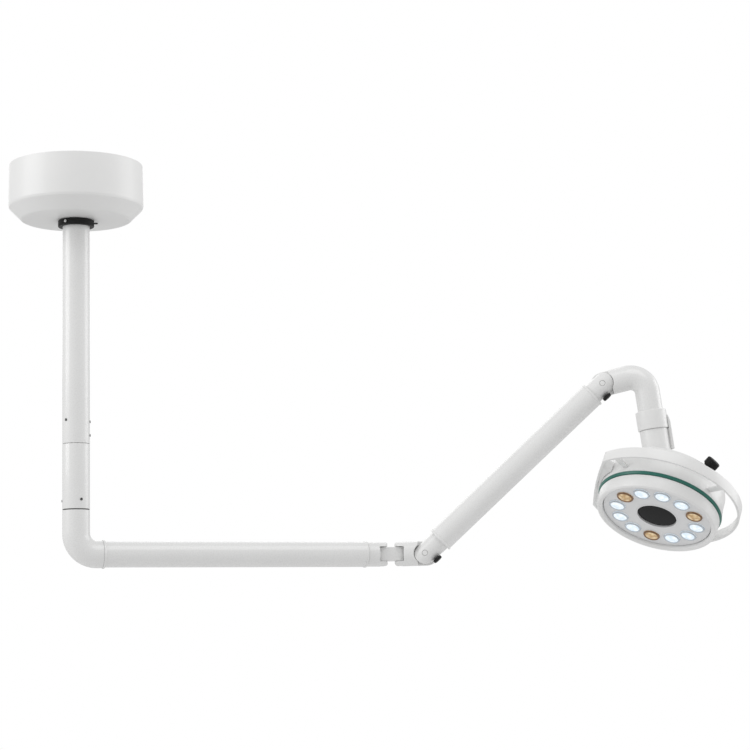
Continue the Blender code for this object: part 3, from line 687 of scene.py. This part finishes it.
def knuckle(frame):
    pin_x = KNUCKLE_LENGTH
    body = piece("knuckle_body", turned([
        (0.0, -10.0), (FORK_R, -10.0), (FORK_R, pin_x + 20.0), (0.0, pin_x + 20.0)]), frame,
        "white_paint", (0.0, 0.0, 0.0), (0.0, 90.0, 0.0))
    plan = arc(12.0, 0.0, 18.7, 90.0, 270.0, 12) + [(80.0, -18.7), (80.0, 18.7)]
    combine(body, tool("knuckle_plan", outline([plan], 60.0), frame), "INTERSECT")
    side = arc(0.2, 11.9, 7.0, 90.0, 180.0, 4) + arc(0.2, -11.9, 7.0, 180.0, 270.0, 4)
    side.append((pin_x, -18.9))
    side += arc(pin_x, 0.0, LUG_R, -90.0, 90.0, 12) + [(pin_x, 18.9)]
    profile = tool("knuckle_side", outline([side], 60.0), frame, rot=(90.0, 0.0, 0.0))
    combine(body, profile, "INTERSECT")
    slot = box((40.0, 60.0, SLOT_H), (9.0 - 20.0, 0.0, 0.0))
    combine(body, tool("knuckle_slot", slot, frame), "DIFFERENCE")
    lap = box((60.0, 40.0, 60.0), (29.5 + 30.0, -20.0 + 0.4, 0.0))
    combine(body, tool("knuckle_lap", lap, frame), "DIFFERENCE")
    combine(body, tool("knuckle_scoop", rod(SCOOP_R, -0.4, 30.0, 24), frame,
            (pin_x, 0.0, 0.0), (90.0, 0.0, 0.0)), "DIFFERENCE")
    combine(body, tool("knuckle_hole", rod(PIN_R + GAP, -40.0, 40.0), frame), "DIFFERENCE")
    bore = tool("knuckle_bore", rod(PIN_R + GAP, -40.0, 40.0), frame, (pin_x, 0.0, 0.0),
                (90.0, 0.0, 0.0))
    combine(body, bore, "DIFFERENCE")
    piece("knuckle_pin", pin(16.8), frame, "white_paint", slot="steel")
    piece("lower_pivot_pin", pin(15.8), frame, "white_paint", (pin_x, 0.0, 0.0), (90.0, 0.0, 0.0),
          slot="steel")


def tongue(obj, frame, x, flip):
    """Round the end about the hinge pin, leave the near half of the lap and bore it."""
    name = obj.name
    loop = arc(0.0, 0.0, TONGUE_R + 0.1, 90.0, 270.0, 12)
    loop += [(120.0, -TONGUE_R - 3.0), (120.0, TONGUE_R + 3.0)]
    spin = 180.0 if flip else 0.0
    end = tool(name + "_end", outline([loop], 60.0), frame, (x, 0.0, 0.0),
               (90.0, spin, 0.0))
    combine(obj, end, "INTERSECT")
    sign = -1.0 if flip else 1.0
    lap = box((60.0, 40.0, 60.0), (x + sign * (LUG_R + 0.6 - 30.0), 20.0 - 0.4, 0.0))
    combine(obj, tool(name + "_lap", lap, frame), "DIFFERENCE")
    bore = rod(PIN_R + GAP, -40.0, 40.0)
    combine(obj, tool(name + "_bore", bore, frame, (x, 0.0, 0.0), (90.0, 0.0, 0.0)),
            "DIFFERENCE")


def balance_arm(frame):
    length = BALANCE_LENGTH
    r = TONGUE_R
    low, high = 29.0, length - 21.0
    lower = piece("lower_hinge_end", turned([(0.0, -20.0), (r, -20.0), (r, 44.0), (r - 1.0, 45.0),
                  (0.0, 45.0)]), frame, "white_paint", rot=(0.0, 90.0, 0.0))
    tongue(lower, frame, 0.0, False)
    upper = piece("upper_hinge_end", turned([(0.0, length + 20.0), (r, length + 20.0),
                  (r, length - 44.0), (r - 1.0, length - 45.0), (0.0, length - 45.0)]), frame,
                  "white_paint", rot=(0.0, 90.0, 0.0))
    tongue(upper, frame, length, True)
    br = BALANCE_R
    piece("balance_tube", turned([
        (br + 0.5, low), (br + 1.0, low + 0.5), (br + 1.0, low + 3.0), (br, low + 3.4),
        (br, high - 3.4), (br + 1.0, high - 3.0), (br + 1.0, high - 0.5), (br + 0.5, high),
        (r + GAP, high), (r + GAP, low)],
        corner=TURNED_CORNER["balance_tube"]), frame, "white_paint", rot=(0.0, 90.0, 0.0))
    turns, per_turn = 16, 20
    coil = []
    for i in range(turns * per_turn + 1):
        a = 2 * math.pi * i / per_turn
        coil.append((52.0 + 248.0 * i / (turns * per_turn), 12.2 * math.cos(a),
                     12.2 * math.sin(a)))
    piece("balance_spring", swept(coil, 1.3, 1), frame, "steel")
    piece("spring_rod", turned([
        (0.0, 46.0), (4.0, 46.0), (4.0, 303.0), (14.0, 303.0), (14.0, 307.0), (4.0, 307.0),
        (4.0, 322.0), (0.0, 322.0)], 14), frame, "dark_steel", rot=(0.0, 90.0, 0.0))


def tension_knob(name, frame):
    piece(name, turned([(0.0, 0.6), (3.0, 0.6), (3.0, 0.0), (KNOB_R - 1.0, 0.0), (KNOB_R, -0.8),
          (KNOB_R, -4.2), (KNOB_R - 1.0, -5.0), (0.0, -5.0)], 14), frame, "black_plastic")


def head_elbow(frame, neck):
    turn = math.radians(LEG_RISE - NECK_LEAN + 90.0)
    down = Vector((math.cos(turn), 0.0, -math.sin(turn)))
    corner = Vector((LEG_LENGTH, 0.0, 0.0))
    end = corner + down * (COLLAR_BOTTOM - GAP)
    body = swept(bent_path((-20.0, 0.0, 0.0), corner, end, ELBOW_BEND), ELBOW_R, 8)
    elbow = piece("head_elbow", body, frame, "white_paint")
    side = arc(0.0, 0.0, LUG_R, 90.0, 270.0, 12) + [(0.0, -24.0), (16.0, -180.0),
                                                    (120.0, -180.0), (120.0, 24.0), (0.0, 24.0)]
    end_cut = tool("elbow_end", outline([side], 60.0), frame, rot=(90.0, 0.0, 0.0))
    combine(elbow, end_cut, "INTERSECT")
    lap = box((60.0, 40.0, 60.0), (13.0 - 30.0, -20.0 + 0.4, 0.0))
    combine(elbow, tool("elbow_lap", lap, frame), "DIFFERENCE")
    combine(elbow, tool("elbow_scoop", rod(SCOOP_R, -0.4, 30.0, 24), frame,
            rot=(90.0, 0.0, 0.0)), "DIFFERENCE")
    pin_bore = tool("elbow_pin_bore", rod(PIN_R + GAP, -40.0, 40.0), frame,
                    rot=(90.0, 0.0, 0.0))
    combine(elbow, pin_bore, "DIFFERENCE")
    bore = bent_path((34.0, 0.0, 0.0), corner, corner + down * 100.0, ELBOW_BEND)
    combine(elbow, tool("head_elbow_bore", swept(bore, 14.0, 4), frame), "DIFFERENCE")
    piece("upper_pivot_pin", pin(15.8), frame, "white_paint", rot=(90.0, 0.0, 0.0), slot="steel")

    top, low = -COLLAR_TOP, -COLLAR_BOTTOM
    piece("neck_collar", turned([
        (COLLAR_R - 0.7, top), (COLLAR_R, top - 0.7), (COLLAR_R, low + 0.7),
        (COLLAR_R - 0.7, low), (ELBOW_R + GAP, low), (ELBOW_R + GAP, top)],
        corner=TURNED_CORNER["neck_collar"]), neck, "white_plastic")
    piece("neck_spindle", turned([
        (0.0, -50.0), (13.2, -50.0), (13.2, -56.0), (10.0, -56.0), (10.0, -98.0),
        (14.5, -98.0), (14.5, -102.0), (0.0, -102.0)], 16), neck, "steel")


# Swivel and lamp head -----------------------------------------------------------------------


def swivel(frame):
    top = NECK_LENGTH - COLLAR_BOTTOM - GAP
    shelf = NECK_LENGTH - 97.6
    r = SWIVEL_R
    ball = [(x, z) for x, z in arc(0.0, 0.0, r, 0.0, -90.0, 5)][:-1] + [(0.0, -r)]
    tube = piece("swivel_tube", turned([
        (0.0, 23.0), (16.5, 23.0), (16.5, shelf), (10.3, shelf), (10.3, top), (r, top)] + ball),
        frame, "white_plastic")
    bore = tool("swivel_bore", rod(5.3, -40.0, 40.0), frame, rot=(90.0, 0.0, 0.0))
    combine(tube, bore, "DIFFERENCE")

    cover_low, cover_high = NECK_LENGTH - 118.0, NECK_LENGTH - 67.0
    loop = arc(0.0, 0.0, 26.8, -55.0, 55.0, 12) + arc(0.0, 0.0, 23.5, 55.0, -55.0, 12)
    turn = COVER_YAW - SWIVEL_YAW
    cover = piece("hinge_cover", outline([loop], cover_high - cover_low), frame, "white_plastic",
                  (0.0, 0.0, (cover_low + cover_high) / 2), (0.0, 0.0, turn))
    foot = arc(0.0, 0.0, 25.0, -50.0, 50.0, 10) + arc(0.0, 0.0, r + GAP, 50.0, -50.0, 10)
    height = top - GAP - cover_low - 1.0
    combine(cover, tool("cover_foot", outline([foot], height), frame,
            (0.0, 0.0, cover_low + 1.0 + height / 2), (0.0, 0.0, turn)), "UNION")
    taper = turned([(0.0, -1.0), (28.0, -1.0), (28.0, 36.0), (24.6, 51.5), (0.0, 51.5)], 24)
    combine(cover, tool("cover_taper", taper, frame, (0.0, 0.0, cover_low)), "INTERSECT")


def tilt_slot(frame):
    """The space the swivel tube sweeps through, from one tilt limit to the other."""
    r = SWIVEL_R + 0.6
    left, right = (math.radians(a) for a in SLOT_ANGLES)
    start = (-r * math.cos(left), r * math.sin(left))
    end = (r * math.cos(right), -r * math.sin(right))
    first = math.degrees(math.atan2(start[1], start[0]))
    last = math.degrees(math.atan2(end[1], end[0]))
    loop = arc(0.0, 0.0, r, first - 360.0 if first > 0 else first, last, 12)
    loop.append((end[0] + 70.0 * math.sin(right), end[1] + 70.0 * math.cos(right)))
    loop.append((start[0] + 70.0 * math.sin(left), start[1] + 70.0 * math.cos(left)))
    return tool("tilt_slot", outline([loop], 2 * r), frame, rot=(90.0, 0.0, 0.0))


def hinge_boss(tilt, slot):
    back = BACK_H - JOINT_H + GAP
    boss = piece("hinge_boss", turned([
        (0.0, -25.0), (PLUG_R, -25.0), (PLUG_R, back), (49.0, back), (48.6, back + 3.0),
        (45.0, back + 7.0), (36.0, back + 10.6), (0.0, back + 12.2)], 24,
        corner=TURNED_CORNER["hinge_boss"]),
        tilt, "white_plastic")
    combine(boss, slot, "DIFFERENCE")
    bore = tool("boss_bore", rod(5.3, -60.0, 60.0), tilt, rot=(90.0, 0.0, 0.0))
    combine(boss, bore, "DIFFERENCE")
    piece("tilt_pin", rod(5.0, -32.5, 32.5), tilt, "steel", rot=(90.0, 0.0, 0.0))


def housing(lamp, slot):
    rear = piece("rear_housing", turned([
        (34.0, BACK_H), (77.5, BACK_H), (88.0, 62.0), (91.0, 53.0), (91.2, 38.0),
        (92.9, BAND_HIGH + GAP), (90.4, BAND_HIGH + GAP), (88.7, 38.0), (88.5, 53.0),
        (85.8, 61.0), (76.5, 69.5), (34.0, 69.5)], 32,
        corner=TURNED_CORNER["rear_housing"]), lamp, "white_plastic")
    plug = tool("plug_hole", rod(PLUG_R + 0.6, 60.0, 90.0, 24), lamp, (JOINT_X, 0.0, 0.0))
    combine(rear, plug, "DIFFERENCE")
    combine(rear, slot, "DIFFERENCE")

    piece("accent_ring", turned([(93.3, BAND_HIGH), (91.8, BAND_LOW + 1.4), (86.5, BAND_LOW + 1.4),
          (86.5, BAND_HIGH)], 32, corner=TURNED_CORNER["accent_ring"]), lamp, "teal")
    top = BAND_LOW + 1.4 - GAP
    piece("front_bezel", turned([
        (91.4, top), (90.6, 4.0), (89.4, -4.0), (86.5, -5.6), (81.8, -2.6), (81.8, 4.2),
        (79.0, 4.2), (79.0, 6.5), (86.0, 6.5), (86.0, top)], 32,
        corner=TURNED_CORNER["front_bezel"]),
        lamp, "white_plastic")


def optics(lamp):
    face = piece("face_plate", turned([
        (80.8, 1.0), (80.8, 3.9), (29.6, 3.9), (29.6, 0.2), (31.4, 0.0), (32.0, 1.0)], 24),
        lamp, "pearl_plate")
    for i in range(LED_COUNT):
        x, y = polar(i * 360.0 / LED_COUNT, LED_CIRCLE_R)
        hole = tool(f"lens_hole_{i + 1:02d}", rod(LENS_R + GAP, -8.0, 9.0, 10), lamp, (x, y, 0.0))
        combine(face, hole, "DIFFERENCE")
        finish = "amber_lens" if i + 1 in AMBER_LENSES else "clear_lens"
        mesh = turned([(0.0, -1.6), (9.0, -0.8), (LENS_R, 0.8), (LENS_R, 3.0), (5.0, 11.5),
                       (0.0, 11.5)], 10)
        piece(f"lens_{i + 1:02d}", mesh, lamp, finish, (x, y, 0.0))
        rim = "brown_rim" if finish == "amber_lens" else "pale_rim"
        collar = turned([(LENS_R + 0.1, -0.2), (LENS_R - 0.4, -1.0), (LENS_R - 1.6, -1.3),
                         (LENS_R - 2.4, -0.9), (LENS_R - 2.6, 0.6), (LENS_R + 0.1, 0.6)], 12)
        extra(f"lens_{i + 1:02d}_rim", collar, lamp, rim, f"lens_{i + 1:02d}", finish,
              (x, y, 0.0))
        dome = turned([(0.0, -2.6), (2.2, -2.4), (4.2, -1.7), (5.0, -0.8), (5.0, 0.0),
                       (0.0, 0.0)], 10)
        extra(f"lens_{i + 1:02d}_dome", dome, lamp, finish, f"lens_{i + 1:02d}", finish,
              (x, y, 0.0))
    piece("centre_window", turned([(0.0, 2.2), (26.0, 2.4), (29.3, 3.0), (29.3, 5.5),
          (0.0, 5.5)], 20), lamp, "black_gloss")
    piece("led_board", turned([(78.0, 13.6), (78.0, 12.0), (20.0, 12.0), (20.0, 13.6)], 28),
          lamp, "board")
    fins = [(20.0, 13.9), (78.0, 13.9), (78.0, 17.0)]
    for radius in (74.0, 50.0):
        fins += [(radius, 17.0), (radius, 40.0), (radius - 3.0, 40.0), (radius - 3.0, 17.0)]
    fins.append((20.0, 17.0))
    piece("heat_sink", turned(fins, 20), lamp, "aluminium")


def handle(lamp):
    def ring(radius, chord):
        corner = math.degrees(math.acos(-chord / radius))
        loop = arc(0.0, 0.0, radius, -corner, corner, 34)
        return loop + [(-chord - 2.4, 28.0), (-chord - 3.0, 0.0), (-chord - 2.4, -28.0)]

    chord = HANDLE_R * math.sin(math.radians(CORNER_AZ))
    loops = [ring(HANDLE_R, chord), ring(HANDLE_R - HANDLE_T, chord - HANDLE_T)]
    middle = HANDLE_LOW + HANDLE_H / 2
    band = piece("handle_ring", outline(loops, HANDLE_H), lamp, "white_plastic",
                 (0.0, 0.0, middle))
    inner = 93.0
    for i, azimuth in enumerate(TAB_AZ):
        reach = HANDLE_R - 1.5 - inner
        bar = box((reach, 9.0, 3.0), (inner + reach / 2, 0.0, HANDLE_LOW + 1.8))
        combine(band, tool(f"handle_tab_{i}", bar, lamp, rot=(0.0, 0.0, azimuth - 90.0)), "UNION")
    web = arc(0.0, 0.0, inner, 209.0, 151.0, 12) + [(-chord + 1.0, 52.0), (-chord + 1.0, -52.0)]
    combine(band, tool("handle_web", outline([web], HANDLE_H - 1.0), lamp, (0.0, 0.0, middle)),
            "UNION")


def dimmer(frame):
    piece("dimmer_knob", turned([
        (0.0, 0.0), (8.4, 0.0), (9.0, 1.6), (10.75, 2.4), (10.75, 11.6), (10.0, 12.8),
        (8.6, 13.4), (0.0, 13.4)], 16,
        corner=TURNED_CORNER["dimmer_knob"]), frame, "black_plastic")


def build():
    root = pivot("mounting", None, (0.0, 0.0, 0.0))
    ceiling_mounting(root)
    column(root)
    arm = pivot("arm_axis", root, (0.0, 0.0, 0.0))
    horizontal_arm(arm)
    link_axis = pivot("link_axis", arm, (FORK_PIN_X, 0.0, ARM_Z), (0.0, 0.0, LINK_YAW))
    link(link_axis)
    knuckle_axis = pivot("knuckle_axis", link_axis, (LINK_SPAN, 0.0, 0.0),
                         (0.0, 0.0, KNUCKLE_YAW))
    knuckle(knuckle_axis)
    lift_axis = pivot("lift_axis", knuckle_axis, (KNUCKLE_LENGTH, 0.0, 0.0), (0.0, -LIFT, 0.0))
    balance_arm(lift_axis)
    low = pivot("lower_tension_axis", lift_axis, (7.0, -8.0, -16.6))
    tension_knob("tension_knob_lower", low)
    high = pivot("upper_tension_axis", lift_axis, (BALANCE_LENGTH - 9.2, -8.0, -16.6))
    tension_knob("tension_knob_upper", high)
    elbow_axis = pivot("elbow_axis", lift_axis, (BALANCE_LENGTH, 0.0, 0.0),
                       (0.0, LIFT - LEG_RISE, 0.0))
    neck = pivot("neck", elbow_axis, (LEG_LENGTH, 0.0, 0.0), (0.0, LEG_RISE - NECK_LEAN, 0.0))
    head_elbow(elbow_axis, neck)
    swivel_axis = pivot("swivel_axis", neck, (0.0, 0.0, -NECK_LENGTH), (0.0, 0.0, SWIVEL_YAW))
    swivel(swivel_axis)
    tilt_axis = pivot("tilt_axis", swivel_axis, (0.0, 0.0, 0.0), (0.0, HEAD_TILT, 0.0))
    offset = Matrix.Rotation(math.radians(HEAD_YAW), 3, "Z") @ Vector((-JOINT_X, 0.0, -JOINT_H))
    lamp = pivot("lamp", tilt_axis, offset, (0.0, 0.0, HEAD_YAW))
    bpy.context.view_layer.update()
    slot = tilt_slot(tilt_axis)
    hinge_boss(tilt_axis, slot)
    housing(lamp, slot)
    optics(lamp)
    handle(lamp)
    x, y = polar(DIMMER_AZ, 82.5 + 0.6)
    knob_axis = pivot("dimmer_axis", lamp, (x, y, 67.25 + 0.6), (0.0, 45.0, DIMMER_AZ - 90.0))
    dimmer(knob_axis)


def studio():
    """A pale floor, soft studio lamps and a white surround."""
    mesh = bpy.data.meshes.new("floor")
    bm = bmesh.new()
    bmesh.ops.create_grid(bm, x_segments=1, y_segments=1, size=FLOOR_HALF)
    bm.to_mesh(mesh)
    bm.free()
    floor = bpy.data.objects.new("floor", mesh)
    bpy.context.scene.collection.objects.link(floor)
    floor.location = FLOOR_PLACE
    mesh.materials.append(coated_surface("floor", (0.8, 0.8, 0.8), (0.84, 0.84, 0.84),
                                         (0.5, 0.6)))
    for i, (place, size, power) in enumerate(SOFTBOXES):
        data = bpy.data.lights.new(f"softbox_{i}", "AREA")
        data.size = size
        data.energy = power
        lamp = bpy.data.objects.new(f"softbox_{i}", data)
        bpy.context.scene.collection.objects.link(lamp)
        lamp.location = place
        aim = Vector(LAMP_AIM) - Vector(place)
        lamp.rotation_euler = aim.to_track_quat("-Z", "Y").to_euler()
    world = bpy.data.worlds.new("surround")
    bpy.context.scene.world = world
    world.use_nodes = True
    nodes, links = world.node_tree.nodes, world.node_tree.links
    seen = nodes["Background"]
    seen.inputs["Color"].default_value = (1.0, 1.0, 1.0, 1.0)
    seen.inputs["Strength"].default_value = 1.0
    lit = nodes.new("ShaderNodeBackground")
    lit.inputs["Color"].default_value = (1.0, 1.0, 1.0, 1.0)
    lit.inputs["Strength"].default_value = SURROUND_STRENGTH
    path = nodes.new("ShaderNodeLightPath")
    mix = nodes.new("ShaderNodeMixShader")
    links.new(path.outputs["Is Camera Ray"], mix.inputs[0])
    links.new(lit.outputs[0], mix.inputs[1])
    links.new(seen.outputs[0], mix.inputs[2])
    links.new(mix.outputs[0], nodes["World Output"].inputs["Surface"])
    bpy.context.scene.view_settings.view_transform = "Standard"


def camera():
    """A long lens below the arm, looking 8 degrees up with a slight roll."""
    data = bpy.data.cameras.new("camera")
    data.lens = CAMERA_LENS
    data.sensor_width = 36.0
    data.clip_end = 30.0
    cam = bpy.data.objects.new("camera", data)
    bpy.context.scene.collection.objects.link(cam)
    pitch = Matrix.Rotation(math.radians(CAMERA_PITCH), 4, "X")
    roll = Matrix.Rotation(math.radians(CAMERA_ROLL), 4, "Z")
    yaw = Matrix.Rotation(math.radians(CAMERA_YAW), 4, "Z")
    place = Matrix.Translation(CAMERA_PLACE)
    cam.matrix_world = yaw @ place @ pitch @ roll
    bpy.context.scene.camera = cam


build()
settle_pieces()
studio()
camera()
